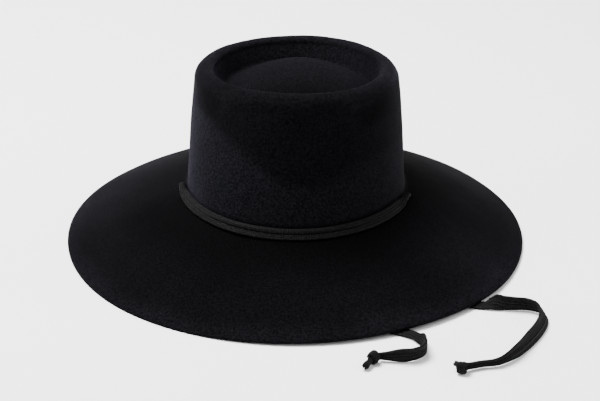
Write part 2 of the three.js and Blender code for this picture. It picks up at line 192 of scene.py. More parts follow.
TAIL_SPREADS = (0.7, 1.15)
TAIL_BUNCH = 0.75
TAIL_YARN = 0.00034
TAIL_YARN_SIDES = 5
TAIL_YARN_TIP = 0.45
TAIL_FLOOR = 0.0005

# Felt wall, brim oval and its edge
FELT = 0.0022
BRIM_HALF_WIDTH = 0.1801
BRIM_HALF_LENGTH = 0.1972
BRIM_BOW = 0.25
EDGE_BAND = 0.0018
EDGE_CORNER = 0.0005
EDGE_LIFT = 0.0012
EDGE_WAVES = [
    {"at": 0, "lift": -0.0006, "spread": 45},
    {"at": 180, "lift": -0.0020, "spread": 45},
    {"at": 310, "lift": 0.0020, "spread": 34},
    {"at": 230, "lift": -0.0019, "spread": 30},
    {"at": 90, "lift": -0.0017, "spread": 28},
]
BRIM_SWELLS = [
    {"at": 330, "out": 0.0020, "spread": 18},
    {"at": 0, "out": 0.0008, "spread": 20},
    {"at": 33, "out": -0.0009, "spread": 14},
    {"at": 144, "out": -0.0013, "spread": 18},
    {"at": 228, "out": 0.0010, "spread": 20},
]

# Crown, ridge, groove and dome
CROWN_X = 0.0006
CROWN_Y = -0.0013
CROWN_LEAN_X = -0.0008
ROOT_HALF_WIDTH = 0.086
ROOT_HALF_LENGTH = 0.1038
ROOT_HEIGHT = 0.0404
ROOT_FILLET = 0.004
WALL_BOW = 0.0005
RIDGE_HALF_WIDTH = 0.0687
RIDGE_HALF_LENGTH = 0.0854
RIDGE_HEIGHT = 0.1383
RIDGE_OUTER_RADIUS = 0.010
RIDGE_INNER_RADIUS = 0.005
RIDGE_TILT = 0.0034
RIDGE_FRONT_RISE = 0.0014
RIDGE_FRONT_SPREAD = 38
GROOVE_HALF_WIDTH = 0.0575
GROOVE_HALF_LENGTH = 0.074
GROOVE_HEIGHT = 0.1165
INNER_WALL_SPREAD = 0.0012
GROOVE_BLEND = 0.0045
GROOVE_WAVE = 0.1
INNER_FOOT_WAVE = 0.25
DOME_HEIGHT = 0.1373
DOME_FULLNESS = 1.08

# Holes in the brim for the strap
HOLE_ANGLE = 10
HOLE_OFFSET = 0.004
HOLE_HALF_ACROSS = 0.0034
HOLE_HALF_ALONG = 0.003
HOLE_SIDES = 40
HOLE_CUTTER = (0.02, 0.06)

# Points round each ring of the felt, and rows of the crown from the dome's middle outwards
AROUND = 360
DOME_ROWS = 24
FOOT_ROWS = 9
INNER_WALL_ROWS = 7
RIDGE_INNER_ROWS = 9
RIDGE_OUTER_ROWS = 12
OUTER_WALL_ROWS = 27
ROOT_ROWS = 8
BRIM_ROWS = 34
BRIM_START = 0.075

# Slow swells that the hands leave in felt: how high, and two crossing waves along x, y and z from a start
HAND_SWELLS = [
    {"high": 0.00030, "wave": (47, 31, 0, 0.7), "crossing": (-23, 39, 60, 0.0)},
    {"high": 0.00016, "wave": (113, 0, -71, 1.1), "crossing": (0, 97, 59, 0.4)},
    {"high": 0.00005, "wave": (310, 0, 170, 0.0), "crossing": (0, 290, -130, 2.0)},
]
SWELL_FADE_ROWS = 12


# Camera

def add_camera():
    turn, rise = CAMERA_TURN, CAMERA_ELEVATION
    back = Vector((math.sin(turn) * math.cos(rise), -math.cos(turn) * math.cos(rise), math.sin(rise)))
    level = Vector((math.cos(turn), math.sin(turn), 0))
    upright = back.cross(level)
    right = level * math.cos(CAMERA_ROLL) + upright * math.sin(CAMERA_ROLL)
    up = upright * math.cos(CAMERA_ROLL) - level * math.sin(CAMERA_ROLL)
    data = bpy.data.cameras.new("camera")
    data.lens = CAMERA_LENS
    data.sensor_width = 36
    data.shift_x = CAMERA_SHIFT_X
    data.shift_y = CAMERA_SHIFT_Y
    data.clip_end = 50
    camera = bpy.data.objects.new("camera", data)
    bpy.context.collection.objects.link(camera)
    axes = Matrix((right, up, back)).transposed().to_4x4()
    camera.matrix_world = Matrix.Translation(CAMERA_TARGET + back * CAMERA_DISTANCE) @ axes
    bpy.context.scene.camera = camera


# Small helpers for numbers and meshes

def lerp(a, b, t):
    return a + (b - a) * t


def smoothstep(x, low, high):
    t = np.clip((np.asarray(x, float) - low) / (high - low), 0, 1)
    return t * t * (3 - 2 * t)


def bell(distance, spread):
    return np.exp(-((distance / spread) ** 2))


def unit(vectors):
    return vectors / np.linalg.norm(vectors, axis=-1, keepdims=True)


def plain_object(name, mesh):
    thing = bpy.data.objects.new(name, mesh)
    bpy.context.collection.objects.link(thing)
    return thing


def ring_mesh(name, rings, material, creases=60):
    """A closed mesh from rings of points, each end closed on its own middle."""
    rings = np.asarray(rings, float)
    count, around = rings.shape[:2]
    points = np.concatenate([rings.reshape(-1, 3), rings[0].mean(0)[None], rings[-1].mean(0)[None]])
    base = np.arange(around)
    after = (base + 1) % around
    faces = []
    for row in range(count - 1):
        a, b = row * around + base, row * around + after
        faces.append(np.stack([a, b, b + around, a + around], 1))
    faces = np.concatenate(faces).tolist()
    start, end = count * around, count * around + 1
    last = (count - 1) * around
    faces += [[start, int(b), int(a)] for a, b in zip(base, after)]
    faces += [[end, int(a + last), int(b + last)] for a, b in zip(base, after)]
    mesh = bpy.data.meshes.new(name)
    mesh.from_pydata(points.tolist(), [], faces)
    mesh.update()
    if signed_volume(mesh) < 0:
        mesh.flip_normals()
    mesh.polygons.foreach_set("use_smooth", [True] * len(mesh.polygons))
    mesh.set_sharp_from_angle(angle=math.radians(creases))
    mesh.materials.append(material)
    return plain_object(name, mesh)


def signed_volume(mesh):
    mesh.calc_loop_triangles()
    corners = np.empty(len(mesh.loop_triangles) * 3, np.int32)
    mesh.loop_triangles.foreach_get("vertices", corners)
    points = np.empty(len(mesh.vertices) * 3)
    mesh.vertices.foreach_get("co", points)
    a, b, c = points.reshape(-1, 3)[corners.reshape(-1, 3)].transpose(1, 0, 2)
    return float((a * np.cross(b, c)).sum())


def baked(thing):
    """The object with its modifiers worked into a plain mesh of its own."""
    graph = bpy.context.evaluated_depsgraph_get()
    mesh = bpy.data.meshes.new_from_object(thing.evaluated_get(graph))
    thing.modifiers.clear()
    old = thing.data
    thing.data = mesh
    bpy.data.meshes.remove(old)
    return thing


def joined(name, things):
    """Several objects at the origin made into one."""
    with bpy.context.temp_override(
        active_object=things[0], selected_editable_objects=things, selected_objects=things
    ):
        bpy.ops.object.join()
    things[0].name = name
    things[0].data.name = name
    return things[0]


# Materials

class Nodes:
    """A short way to add and link the nodes of one tree."""

    def __init__(self, tree):
        self.tree = tree
        tree.nodes.clear()

    def add(self, kind, inputs=None, **settings):
        node = self.tree.nodes.new(kind)
        for name, value in settings.items():
            setattr(node, name, value)
        for key, value in (inputs or {}).items():
            self.feed(node.inputs[key], value)
        return node

    def feed(self, socket, value):
        if isinstance(value, bpy.types.NodeSocket):
            self.tree.links.new(value, socket)
        else:
            socket.default_value = value

    def math(self, operation, a, b=0.0, clamp=False):
        node = self.add("ShaderNodeMath", {0: a, 1: b}, operation=operation)
        node.use_clamp = clamp
        return node.outputs[0]

    def noise(self, vector, scale, detail=2.0, roughness=0.5):
        inputs = {"Vector": vector, "Scale": scale, "Detail": detail, "Roughness": roughness}
        return self.add("ShaderNodeTexNoise", inputs).outputs["Fac"]

    def spread(self, value, low, high, to_low=0.0, to_high=1.0):
        node = self.add("ShaderNodeMapRange", {0: value, 1: low, 2: high, 3: to_low, 4: to_high})
        node.interpolation_type = "SMOOTHSTEP"
        return node.outputs[0]

    def blend(self, factor, a, b):
        node = self.add("ShaderNodeMix", data_type="RGBA")
        for key, value in zip((0, 6, 7), (factor, a, b)):
            self.feed(node.inputs[key], value)
        return node.outputs[2]


def new_material(name):
    material = bpy.data.materials.new(name)
    material.use_nodes = True
    return material, Nodes(material.node_tree)


# Felt: its colours, the scales of its nap, and how much lighter each zone is than the darkest; the zones are
# partly the nap and partly painted light and shade
FELT_DARK = (0.00015, 0.00015, 0.0002, 1)
FELT_LIGHT = (0.0068, 0.0065, 0.0083, 1)
FELT_SHEEN = (0.62, 0.56, 0.92, 1)
FELT_SHEEN_WEIGHT = 0.035
GRAIN_SCALE = 1150
TUFT_SCALE = 600
CLOUD_SCALE = 16
CLOUD_WANDER = 0.05
CROWN_SLOPE = 0.57
# Crown: the nap line with painted light from the left on it (below), painted highlights on the top (beside),
# the lighter inner back wall (inside), painted shade in the groove (foot)
CROWN_NAP_AND_PAINTED_LIGHT = {"dark": 0.42, "below": 0.50, "beside": 0.24, "inside": 0.42, "foot": 0.22}
# Brim: painted shadow of the crown (near, far), painted highlights on the rim, the right and the back left,
# painted shade behind
BRIM_PAINTED_LIGHT = {"near": 0.12, "far": 0.30, "edge": 0.30, "right": 0.30, "left_back": 0.13, "behind": 0.35}

# Where each zone, of the nap and of painted light and shade, starts and is full, along the direction in its
# name
PAINTED_LIGHT_AND_NAP_ZONES = {
    # The crown's nap line; leftward_x fades in painted light from the left
    "slant_height": (0.092, 0.072),
    "low_height": (0.090, 0.074),
    "leftward_x": (0.062, -0.030),
    # Painted highlights on the top beside the ridge
    "top_height": (0.128, 0.136),
    "side_switch_x": (-0.01, 0.01),
    "beside_x": (0.030, 0.055),
    # The lighter inner back wall
    "back_y": (0.022, 0.080),
    "inside_height": (0.112, 0.120),
    # Painted shade on the front of the groove
    "foot_front_y": (-0.020, -0.050),
    "foot_back_y": (-0.078, -0.070),
    "foot_height": (0.112, 0.118),
    # Brim: painted shadow of the crown, painted highlights on the rim, the right and the back left, painted
    # shade behind
    "outer_reach": (0.62, 0.90),
    "edge_reach": (0.91, 1.01),
    "right_x": (0.050, 0.150),
    "right_y": (-0.130, -0.050),
    "left_x": (0.010, -0.050),
    "left_y": (-0.055, -0.010),
    "behind_slant": (0.00, 0.11),
    "crown_height": (0.0415, 0.0455),
    "speckle": (0.34, 0.66),
}


def painted_light_and_nap_zone(n, value, name, *levels):
    """How far a value is into a named zone, from 0 to 1 or between two given levels."""
    return n.spread(value, *PAINTED_LIGHT_AND_NAP_ZONES[name], *levels)


def crown_nap_and_painted_light(n, x, y, z, wander):
    """Lighter below a line that slants across the front and then runs level, a zone of the nap, with painted
    light from the left on it; painted highlights on the top beside the ridge; lighter on the inner back
    wall; painted shade on the front of the groove.
    """
    loose_height = n.math("ADD", z, wander)
    slant = n.math("ADD", z, n.math("MULTIPLY", x, CROWN_SLOPE))
    slant = painted_light_and_nap_zone(n, n.math("ADD", slant, wander), "slant_height")
    below = n.math("MAXIMUM", slant, painted_light_and_nap_zone(n, loose_height, "low_height"))
    # Painted light from the left: the lighter zone fades towards the right
    below = n.math("MULTIPLY", below, painted_light_and_nap_zone(n, x, "leftward_x", 0.55, 1.0))
    tone = n.math("ADD", n.math("MULTIPLY", below, CROWN_NAP_AND_PAINTED_LIGHT["below"]), CROWN_NAP_AND_PAINTED_LIGHT["dark"])
    # Painted highlights on the top, left and right of the ridge
    sideways = n.math("MULTIPLY", x, painted_light_and_nap_zone(n, x, "side_switch_x", -0.85, 1.0))
    beside = n.math("MULTIPLY", painted_light_and_nap_zone(n, loose_height, "top_height"), painted_light_and_nap_zone(n, sideways, "beside_x"))
    tone = n.math("ADD", tone, n.math("MULTIPLY", beside, CROWN_NAP_AND_PAINTED_LIGHT["beside"]))
    inside = n.math("MULTIPLY", painted_light_and_nap_zone(n, y, "back_y"), painted_light_and_nap_zone(n, z, "inside_height"))
    tone = n.math("ADD", tone, n.math("MULTIPLY", inside, CROWN_NAP_AND_PAINTED_LIGHT["inside"]))
    # Painted shade on the front of the groove
    foot = n.math("MULTIPLY", painted_light_and_nap_zone(n, y, "foot_front_y"), painted_light_and_nap_zone(n, y, "foot_back_y"))
    foot = n.math("MULTIPLY", foot, painted_light_and_nap_zone(n, z, "foot_height"))
    return n.math("SUBTRACT", tone, n.math("MULTIPLY", foot, CROWN_NAP_AND_PAINTED_LIGHT["foot"]))


def brim_painted_light(n, x, y, wander):
    """Painted light and shade: the crown's shadow beside it and darker again behind; painted highlights
    towards the edge, on the right and at the back left.
    """
    across = n.math("POWER", n.math("DIVIDE", x, BRIM_HALF_WIDTH), 2.0)
    ahead = n.math("POWER", n.math("DIVIDE", y, BRIM_HALF_LENGTH), 2.0)
    reach = n.math("SQRT", n.math("ADD", across, ahead))
    reach = n.math("ADD", reach, n.math("MULTIPLY", wander, 2.0))
    # Painted shadow of the crown near it, fading outwards
    outer = painted_light_and_nap_zone(n, reach, "outer_reach", BRIM_PAINTED_LIGHT["near"], BRIM_PAINTED_LIGHT["far"])
    # Painted highlight on the rim
    tone = n.math("ADD", outer, painted_light_and_nap_zone(n, reach, "edge_reach", 0.0, BRIM_PAINTED_LIGHT["edge"]))
    # Painted highlights on the right and at the back left
    right = n.math("MULTIPLY", painted_light_and_nap_zone(n, x, "right_x"), painted_light_and_nap_zone(n, y, "right_y"))
    tone = n.math("ADD", tone, n.math("MULTIPLY", right, BRIM_PAINTED_LIGHT["right"]))
    left_back = n.math("MULTIPLY", painted_light_and_nap_zone(n, x, "left_x"), painted_light_and_nap_zone(n, y, "left_y"))
    tone = n.math("ADD", tone, n.math("MULTIPLY", left_back, BRIM_PAINTED_LIGHT["left_back"]))
    # Painted shade behind the crown
    slant = n.math("ADD", y, n.math("MULTIPLY", x, 0.8))
    return n.math("MULTIPLY", tone, painted_light_and_nap_zone(n, slant, "behind_slant", 1.0, BRIM_PAINTED_LIGHT["behind"]))


def felt_material():
    """Brushed black felt: a fine speckled nap with broad darker and lighter zones, partly of the nap and
    partly painted light and shade.
    """
    material, n = new_material("black_felt")
    place = n.add("ShaderNodeTexCoord").outputs["Object"]
    x, y, z = n.add("ShaderNodeSeparateXYZ", {0: place}).outputs
    grain = n.noise(place, GRAIN_SCALE, 2, 0.6)
    tufts = n.noise(place, TUFT_SCALE, 2, 0.6)
    clouds = n.noise(place, CLOUD_SCALE, 2, 0.5)
    speckle = n.math("ADD", n.math("MULTIPLY", grain, 0.5), n.math("MULTIPLY", tufts, 0.5))
    wander = n.math("MULTIPLY", n.math("SUBTRACT", clouds, 0.5), CLOUD_WANDER)
    crown = crown_nap_and_painted_light(n, x, y, z, wander)
    brim = brim_painted_light(n, x, y, wander)
    on_crown = painted_light_and_nap_zone(n, z, "crown_height")
    # The crown and brim levels hold painted light and shade along with the nap zones; the clouds vary the
    # tone at random
    level = n.math("ADD", brim, n.math("MULTIPLY", on_crown, n.math("SUBTRACT", crown, brim)))
    level = n.math("MULTIPLY", level, n.math("ADD", n.math("MULTIPLY", clouds, 0.6), 0.7))
    tone = n.math("MULTIPLY", painted_light_and_nap_zone(n, speckle, "speckle", 0.10, 1.15), level, True)
    bump = n.add("ShaderNodeBump", {"Height": speckle, "Strength": 0.5, "Distance": 0.0004})
    shader = n.add("ShaderNodeBsdfPrincipled", {
        "Base Color": n.blend(tone, FELT_DARK, FELT_LIGHT), "Roughness": 0.95, "Normal": bump.outputs[0],
        "Sheen Weight": n.math("MULTIPLY", tone, FELT_SHEEN_WEIGHT), "Sheen Roughness": 0.4,
        "Sheen Tint": FELT_SHEEN, "Specular IOR Level": 0.02,
    })
    n.add("ShaderNodeOutputMaterial", {"Surface": shader.outputs[0]})
    return material


# Braid: dark and light tones of the ribbed core, darker than the yarn as painted shade between the stitches,
# and of the yarn
PAINTED_SHADE_CORE_TONES = ((0.0004, 0.0004, 0.0004, 1), (0.0010, 0.0010, 0.0010, 1))
YARN_TONES = ((0.0009, 0.0009, 0.0009, 1), (0.0088, 0.0088, 0.0088, 1))
BRAID_SHEEN = (0.8, 0.8, 0.82, 1)
FIBRE_SCALE = 2600
PATCH_SCALE = 520


def braid_material(name, dark, light):
    """Cotton yarn: fine fibres, with the tone changing from stitch to stitch."""
    material, n = new_material(name)
    place = n.add("ShaderNodeTexCoord").outputs["Object"]
    fibres = n.noise(place, FIBRE_SCALE, 3, 0.6)
    patches = n.noise(place, PATCH_SCALE, 2, 0.5)
    tone = n.math("ADD", n.math("MULTIPLY", fibres, 0.6), n.math("MULTIPLY", patches, 0.4))
    colour = n.blend(n.spread(tone, 0.38, 0.62), dark, light)
    bump = n.add("ShaderNodeBump", {"Height": fibres, "Strength": 0.4, "Distance": 0.0002})
    shader = n.add("ShaderNodeBsdfPrincipled", {
        "Base Color": colour, "Roughness": 0.75, "Normal": bump.outputs[0],
        "Sheen Weight": 0.008, "Sheen Roughness": 0.5, "Sheen Tint": BRAID_SHEEN,
        "Specular IOR Level": 0.06,
    })
    n.add("ShaderNodeOutputMaterial", {"Surface": shader.outputs[0]})
    return material


def floor_material():
    material, n = new_material("pale_floor")
    place = n.add("ShaderNodeTexCoord").outputs["Object"]
    colour = n.blend(n.noise(place, 3, 2), (0.93, 0.93, 0.93, 1), (0.95, 0.95, 0.95, 1))
    shader = n.add("ShaderNodeBsdfPrincipled", {"Base Color": colour, "Roughness": 0.9})
    n.add("ShaderNodeOutputMaterial", {"Surface": shader.outputs[0]})
    return material


# Braided strap

class Band:
    """A stretch of flat braid: its middle line, directions and half sizes, a row for each step."""

    def __init__(self, centre, along, across, half_width, half_thickness, fold):
        self.centre = centre
        self.along = unit(along)
        through = unit(np.cross(self.along, across))
        self.across = unit(np.cross(through, self.along))
        self.through = through
        self.half_width = np.asarray(half_width, float)
        self.half_thickness = np.asarray(half_thickness, float)
        self.fold = np.asarray(fold, float)

    def length(self):
        return float(np.linalg.norm(np.diff(self.centre, axis=0), axis=1).sum())

    def resampled(self, step):
        """The same band with rows an even step apart."""
        run = np.concatenate([[0], np.cumsum(np.linalg.norm(np.diff(self.centre, axis=0), axis=1))])
        marks = np.linspace(0, run[-1], max(2, round(run[-1] / step) + 1))

        def at(values):
            if values.ndim == 1:
                return np.interp(marks, run, values)
            return np.stack([np.interp(marks, run, column) for column in values.T], 1)

        parts = (self.centre, self.along, self.across, self.half_width, self.half_thickness, self.fold)
        return Band(*(at(part) for part in parts))

    def surface(self, place, face):
        """Points and outward directions at shares of the half width, on the outer (1) or inner (-1) face."""
        step = 0.01
        height = section_height(place, self.fold[:, None], face)
        low = section_height(np.clip(place - step, -1, 1), self.fold[:, None], face)
        high = section_height(np.clip(place + step, -1, 1), self.fold[:, None], face)
        width, thick = self.half_width[:, None, None], self.half_thickness[:, None, None]
        slope = ((high - low) / (2 * step))[..., None] * thick * face
        across, through = self.across[:, None], self.through[:, None]
        point = self.centre[:, None] + across * width * place[..., None]
        point = point + through * thick * height[..., None] * face
        sideways = unit(across * width + through * slope)
        outward = unit(-across * slope + through * width) * face
        return point, sideways, outward


def section_height(place, fold, face):
    """Half thickness over the width: ribs side by side, or a round strand beside a thinner flat part."""
    rim = np.sqrt(np.clip(1 - np.abs(place) ** EDGE_ROUNDING, 0, 1))
    ribs = np.abs(np.sin(np.pi * STRAP_RIBS * (place + 1) / 2)) ** RIB_FULLNESS
    flat = rim * lerp(RIB_GROOVE, 1, ribs)
    if face < 0:
        return flat
    strand = np.sqrt(np.clip(1 - ((place - FOLD_MIDDLE) / FOLD_MIDDLE) ** 2, 0, 1)) * FRONT_STRAND
    lower = (place + FOLD_MIDDLE) / FOLD_MIDDLE
    fine = np.abs(np.sin(np.pi * THIN_RIBS * (lower + 1) / 2)) ** RIB_FULLNESS
    thin = np.clip(1 - np.abs(lower) ** THIN_ROUNDING, 0, 1) ** 0.5 * lerp(THIN_GROOVE, THIN_TOP, fine)
    folded = np.where(place > 0, strand, thin)
    return lerp(flat, np.maximum(folded, rim * LEAST_SHARE), fold)


def smooth_route(route, per_span=24):
    """Centripetal curve through the route's points, with the lean in step."""
    points = np.array([row[:3] for row in route], float)
    leans = np.array([row[3] for row in route], float)
    points = np.concatenate([2 * points[:1] - points[1:2], points, 2 * points[-1:] - points[-2:-1]])
    places, turns = [], []
    for i in range(1, len(points) - 2):
        a, b, c, d = points[i - 1:i + 3]
        u, v, w = (np.linalg.norm(q - p) ** 0.5 for p, q in ((a, b), (b, c), (c, d)))
        start = ((b - a) / u - (c - a) / (u + v) + (c - b) / v) * v
        end = ((c - b) / v - (d - b) / (v + w) + (d - c) / w) * v
        t = np.linspace(0, 1, per_span, endpoint=i == len(points) - 3)[:, None]
        cube, square = t ** 3, t ** 2
        places.append(
            b * (2 * cube - 3 * square + 1) + start * (cube - 2 * square + t)
            + c * (3 * square - 2 * cube) + end * (cube - square)
        )
        turns.append(lerp(leans[i - 1], leans[i], t[:, 0]))
    return np.concatenate(places), np.radians(np.concatenate(turns))


def loose_band(route, gather, curl):
    """A loose end of the strap: flat on the surface, turning on edge, narrow at hole and knot."""
    centre, lean = smooth_route(route)
    along = unit(np.gradient(centre, axis=0))
    side = unit(np.stack([-along[:, 1], along[:, 0], np.zeros(len(along))], 1))
    up = np.cross(along, side)
    across = up * np.cos(lean)[:, None] + side * np.sin(lean)[:, None]
    run = np.concatenate([[0], np.cumsum(np.linalg.norm(np.diff(centre, axis=0), axis=1))])
    open_share = np.minimum(smoothstep(run, 0, HOLE_TAPER), smoothstep(run[-1] - run, *gather))
    narrowed = curl["share"] * bell(run[-1] - run - curl["turn"], curl["spread"])
    width = lerp(BUNCH_WIDTH, STRAP_WIDTH, open_share) * (1 - narrowed)
    thickness = lerp(BUNCH_THICKNESS, STRAP_THICKNESS, open_share)
    return Band(centre, along, across, width / 2, thickness / 2, np.zeros(len(centre)))


def beside_crown(angle, offset, height):
    """A point beside the crown's root and the ways outward and along there."""
    turn = np.radians(angle)
    out = unit(np.stack([np.cos(turn) / ROOT_HALF_WIDTH, np.sin(turn) / ROOT_HALF_LENGTH], -1))
    point = np.stack([
        CROWN_X + ROOT_HALF_WIDTH * np.cos(turn) + out[..., 0] * offset,
        CROWN_Y + ROOT_HALF_LENGTH * np.sin(turn) + out[..., 1] * offset,
        height + 0 * turn,
    ], -1)
    flat = np.zeros(np.shape(turn))
    outward = np.stack([out[..., 0], out[..., 1], flat], -1)
    along = np.stack([-out[..., 1], out[..., 0], flat], -1)
    return point, outward, along


def front_band():
    """The held stretch: up through one hole, along the front of the crown, down through the other."""
    first, last = 180 + HOLE_ANGLE, 360 - HOLE_ANGLE
    t = np.linspace(0, 1, FRONT_STATIONS)[1:-1]
    open_share = smoothstep(np.minimum(t, 1 - t), *FRONT_TAPER)
    level = np.stack([
        lerp(first + BEND_TURN, last - BEND_TURN, t), 0 * t,
        lerp(HOLE_BEND[-1]["height"], FRONT_HEIGHT, open_share), 0 * t, open_share,
        smoothstep(np.minimum(t, 1 - t), *FRONT_FOLD),
    ], 1)
    bend = [[bend["ahead"], bend["height"], bend["upright"], 0, 0] for bend in HOLE_BEND]
    rising = np.array([[first, *row] for row in bend])
    falling = np.array([[last, -row[0], *row[1:]] for row in bend])[::-1]
    rows = np.concatenate([rising, level, falling])
    angle, ahead, height, upright, open_share, fold = rows.T
    point, out, along = beside_crown(angle, lerp(HOLE_OFFSET, FRONT_OFFSET, open_share), height)
    point = point + along * ahead[:, None]
    rise = np.where(np.arange(len(rows)) < len(rows) / 2, upright, -upright)
    tangent = along * (1 - upright)[:, None]
    tangent[:, 2] += rise
    tilt = FRONT_TILT * open_share
    across = -out * np.cos(tilt)[:, None]
    across[:, 2] += np.sin(tilt)
    width = lerp(BUNCH_WIDTH, FRONT_WIDTH, open_share)
    thickness = lerp(BUNCH_THICKNESS, FRONT_THICKNESS, open_share)
    return Band(point, tangent, across, width / 2, thickness / 2, fold)


def band_rings(band, across_steps):
    place = -np.cos(np.pi * np.arange(across_steps + 1) / across_steps)
    rows = len(band.centre)
    spread = np.broadcast_to(place, (rows, len(place)))
    outer = band.surface(spread, 1)[0]
    inner = band.surface(spread[:, 1:-1], -1)[0]
    return np.concatenate([outer, inner[:, ::-1]], 1)


def stitch_tree():
    """Lays one yarn grain on each point, along its stitch, with a little random difference."""
    tree = bpy.data.node_groups.new("yarn_stitches", "GeometryNodeTree")
    face = tree.interface
    inputs = [
        ("Points", "NodeSocketGeometry", None),
        ("Grain Length", "NodeSocketFloat", 0.0022),
        ("Grain Width", "NodeSocketFloat", 0.0012),
        ("Grain Height", "NodeSocketFloat", 0.0007),
        ("Difference", "NodeSocketFloat", 0.12),
        ("Seed", "NodeSocketInt", 7),
        ("Yarn", "NodeSocketMaterial", None),
    ]
    for name, kind, value in inputs:
        socket = face.new_socket(name, in_out="INPUT", socket_type=kind)
        if value is not None:
            socket.default_value = value
    face.new_socket("Stitches", in_out="OUTPUT", socket_type="NodeSocketGeometry")
    n = Nodes(tree)
    given = n.add("NodeGroupInput").outputs

    def stored(name, kind):
        node = n.add("GeometryNodeInputNamedAttribute", data_type=kind)
        node.inputs["Name"].default_value = name
        return node.outputs["Attribute"]

    grain = n.add("GeometryNodeMeshUVSphere", {"Segments": GRAIN_SIDES, "Rings": GRAIN_ROWS, "Radius": 0.5})
    half_turn = n.add("GeometryNodeTransform", {"Geometry": grain.outputs["Mesh"]})
    half_turn.inputs["Rotation"].default_value = (0, math.pi / 2, 0)
    size = n.add("ShaderNodeCombineXYZ", {
        0: given["Grain Length"], 1: given["Grain Width"], 2: given["Grain Height"],
    }).outputs[0]
    low = n.math("SUBTRACT", 1.0, given["Difference"])
    high = n.math("ADD", 1.0, given["Difference"])
    chance = n.add("FunctionNodeRandomValue", data_type="FLOAT")
    n.feed(chance.inputs[2], low)
    n.feed(chance.inputs[3], high)
    n.feed(chance.inputs["Seed"], given["Seed"])
    squeeze = stored("squeeze", "FLOAT_VECTOR")
    size = n.add("ShaderNodeVectorMath", {0: size, 1: squeeze}, operation="MULTIPLY")
    size = n.add("ShaderNodeVectorMath", {0: size.outputs[0], "Scale": chance.outputs[1]}, operation="SCALE")
    turned = n.add("FunctionNodeAxesToRotation", {
        "Primary Axis": stored("lie", "FLOAT_VECTOR"), "Secondary Axis": stored("outward", "FLOAT_VECTOR"),
    }, primary_axis="X", secondary_axis="Z")
    placed = n.add("GeometryNodeInstanceOnPoints", {
        "Points": given["Points"], "Instance": half_turn.outputs[0],
        "Rotation": turned.outputs[0], "Scale": size.outputs[0],
    })
    real = n.add("GeometryNodeRealizeInstances", {"Geometry": placed.outputs[0]})
    smooth = n.add("GeometryNodeSetShadeSmooth", {"Geometry": real.outputs[0]})
    yarn = n.add("GeometryNodeSetMaterial", {"Geometry": smooth.outputs[0], "Material": given["Yarn"]})
    n.add("NodeGroupOutput", {0: yarn.outputs[0]})
    return tree


def set_inputs(modifier, values):
    """Sets a tree's named inputs by their identifiers."""
    for item in modifier.node_group.interface.items_tree:
        if item.item_type == "SOCKET" and item.in_out == "INPUT" and item.name in values:
            modifier[item.identifier] = values[item.name]


def stitch_points(name, band, slant, rope_from=2.0):
    """A point for every stitch: columns on both faces, slanting in pairs, all one way beyond rope_from."""
    rows = band.resampled(STITCH_PITCH)
    count, columns = len(rows.centre), STITCH_COLUMNS
    place = (np.arange(columns) + 0.5) / columns * 2 - 1
    spread = np.broadcast_to(place, (count, columns))
    lean = np.where(np.arange(columns) % 2 == 0, slant, -slant)
    lean = np.where(place > rope_from, -slant * ROPE_SLANT, lean)
    points, lies, outs, squeezes = [], [], [], []
    for face in (1, -1):
        point, sideways, outward = rows.surface(spread, face)
        along = np.broadcast_to(rows.along[:, None], sideways.shape)
        lie = unit(along * np.cos(lean)[None, :, None] + sideways * np.sin(lean)[None, :, None])
        sunk = point - outward * STITCH_SINK
        squeeze = rows.half_width * 2 / STRAP_WIDTH
        squeeze = np.stack([np.ones(count), squeeze, np.clip(squeeze, STITCH_LEAST_HEIGHT, 1)], 1)
        points.append(sunk.reshape(-1, 3))
        lies.append(lie.reshape(-1, 3))
        outs.append(outward.reshape(-1, 3))
        squeezes.append(np.repeat(squeeze, columns, axis=0))
    return point_cloud(name, np.concatenate(points), {
        "lie": np.concatenate(lies), "outward": np.concatenate(outs), "squeeze": np.concatenate(squeezes),
    })


def point_cloud(name, points, directions):
    mesh = bpy.data.meshes.new(name)
    mesh.from_pydata(points.tolist(), [], [])
    for key, values in directions.items():
        attribute = mesh.attributes.new(key, "FLOAT_VECTOR", "POINT")
        attribute.data.foreach_set("vector", np.ascontiguousarray(values, np.float32).ravel())
    return plain_object(name, mesh)


def stitches(cloud, tree, sizes):
    modifier = cloud.modifiers.new("stitches", "NODES")
    modifier.node_group = tree
    set_inputs(modifier, sizes)
    return baked(cloud)


def braided(name, band, tree, base, yarn, seed, rope_from=2.0):
    """A braid: a ribbed core with a yarn grain for every stitch."""
    core = ring_mesh(name, band_rings(band.resampled(RING_STEP), RING_SIDES), base)
    cloud = stitch_points(name + "_stitches", band, STITCH_SLANT, rope_from)
    grains = stitches(cloud, tree, {**STRAP_GRAIN, "Seed": seed, "Yarn": yarn})
    return joined(name, [core, grains])


# Knots

def knot_bands(knot, strap_end):
    """Two turns of the gathered strap wound round the knot's heart, and the core inside them."""
    heart = np.array(knot["heart"])
    tail = np.array(knot["tail"])
    axis = unit(tail - strap_end)
    across = unit(np.cross(axis, (0, 0, 1)))
    up = np.cross(across, axis)
    radius = knot["radius"]
    bands = []
    for row in KNOT_TURNS:
        t = np.linspace(0, 1, KNOT_STEPS)
        turn = row["start"] + row["turns"] * 2 * math.pi * t
        shift = row["swing"] * radius * np.cos(turn * 0.5 + row["start"])
        reach = radius * row["reach"] * np.sqrt(np.clip(1 - (shift / radius) ** 2, 0.3, 1))
        outward = across * np.cos(turn)[:, None] + up * np.sin(turn)[:, None]
        centre = heart + axis * shift[:, None] + outward * reach[:, None]
        along = np.gradient(centre, axis=0)
        side = np.cross(outward, unit(along))
        taper = np.sin(np.pi * np.clip(t, 0.06, 0.94)) ** KNOT_TURN_TAPER
        width, thickness = radius * KNOT_TURN_WIDTH * taper, radius * KNOT_TURN_THICKNESS * taper
        bands.append(Band(centre, along, side, width, thickness, np.zeros(KNOT_STEPS)))
    return bands, knot_core(heart, axis, across, radius)


